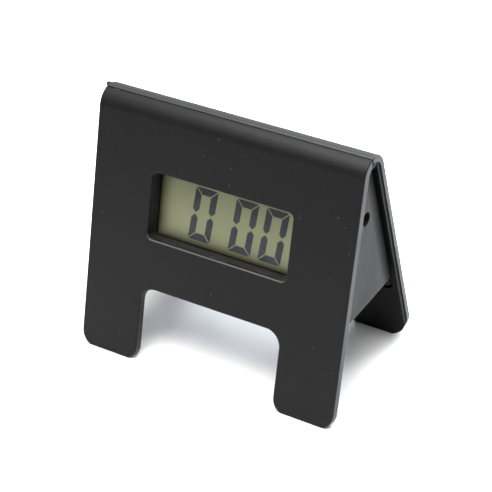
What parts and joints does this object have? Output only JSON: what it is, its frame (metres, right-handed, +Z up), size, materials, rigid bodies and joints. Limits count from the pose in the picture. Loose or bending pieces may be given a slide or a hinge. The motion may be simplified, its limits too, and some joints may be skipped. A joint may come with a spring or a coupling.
{
  "type": "desk alarm clock",
  "caption": "Small A-frame desk alarm clock with a digital display, a hinged rear stand and a slim wedge-shaped case between its leaning panels.",
  "frame": {"origin": "on the floor, midway between the front and rear feet and between the two sides", "axes": "+Z up, +Y towards the rear stand, +X to the right of someone facing the display"},
  "size_m": [0.09, 0.0528, 0.0798],
  "materials": {
    "black_plastic": "matte",
    "clear_plastic": "clear gloss",
    "white_plastic": "satin",
    "display_glass": "clear",
    "polarizer_film": "satin",
    "reflector_film": "brushed silver film",
    "black_rubber": "matte",
    "zebra_rubber": "matte",
    "board_laminate": "solder mask",
    "black_resin": "gloss",
    "capacitor_ceramic": "matte",
    "steel": "zinc plated",
    "nickel_strip": "nickel plated",
    "gold_pins": "polished",
    "brass_disc": "satin",
    "buzzer_ceramic": "fired silver",
    "battery_jacket": "printed sleeve"
  },
  "bodies": {
    "clock": {"front_cover": "black_plastic", "case_front": "black_plastic", "case_back": "black_plastic", "case_screws": "steel", "display_lens": "clear_plastic", "display_gasket": "black_rubber", "lcd_front_polarizer": "polarizer_film", "lcd_front_glass": "display_glass", "lcd_rear_glass": "display_glass", "lcd_reflector": "reflector_film", "zebra_strip": "zebra_rubber", "lcd_holder": "white_plastic", "circuit_board": "board_laminate", "board_screws": "steel", "clock_chip": "black_resin", "quartz_crystal": "steel", "capacitors": "capacitor_ceramic", "push_switches": "black_resin", "alarm_switch_body": "black_plastic", "buzzer_plate": "brass_disc", "buzzer_ceramic": "buzzer_ceramic", "buzzer_pins": "gold_pins", "battery_cell": "battery_jacket", "cell_terminal": "nickel_strip", "negative_contact": "nickel_strip", "positive_contact": "nickel_strip", "negative_spring": "steel"},
    "stand": {"stand_cover": "black_plastic", "stand_panel": "black_plastic", "stand_screws": "steel", "hinge_pin": "steel"},
    "mode_button": {"mode_button": "black_plastic"},
    "hour_button": {"hour_button": "black_plastic"},
    "minute_button": {"minute_button": "black_plastic"},
    "alarm_knob": {"alarm_switch_knob": "black_plastic"},
    "battery_door": {"battery_door": "black_plastic"}
  },
  "joints": [
    {"name": "stand_hinge", "type": "hinge", "parent": "clock", "child": "stand", "pos_m": [0, 0.00156, 0.07788], "axis": [1, 0, 0], "range_deg": [0, 70]},
    {"name": "mode_button_press", "type": "slide", "parent": "clock", "child": "mode_button", "axis": [0, -0.9603, 0.279], "range_m": [0, 0.0004], "stiffness_N_per_m": 3000},
    {"name": "hour_button_press", "type": "slide", "parent": "clock", "child": "hour_button", "axis": [0, -0.9603, 0.279], "range_m": [0, 0.0004], "stiffness_N_per_m": 3000},
    {"name": "minute_button_press", "type": "slide", "parent": "clock", "child": "minute_button", "axis": [0, -0.9603, 0.279], "range_m": [0, 0.0004], "stiffness_N_per_m": 3000},
    {"name": "alarm_knob_slide", "type": "slide", "parent": "clock", "child": "alarm_knob", "axis": [1, 0, 0], "range_m": [0, 0.003]},
    {"name": "battery_door_slide", "type": "slide", "parent": "clock", "child": "battery_door", "axis": [0, 0.2521, -0.9677], "range_m": [0, 0.014]}
  ]
}
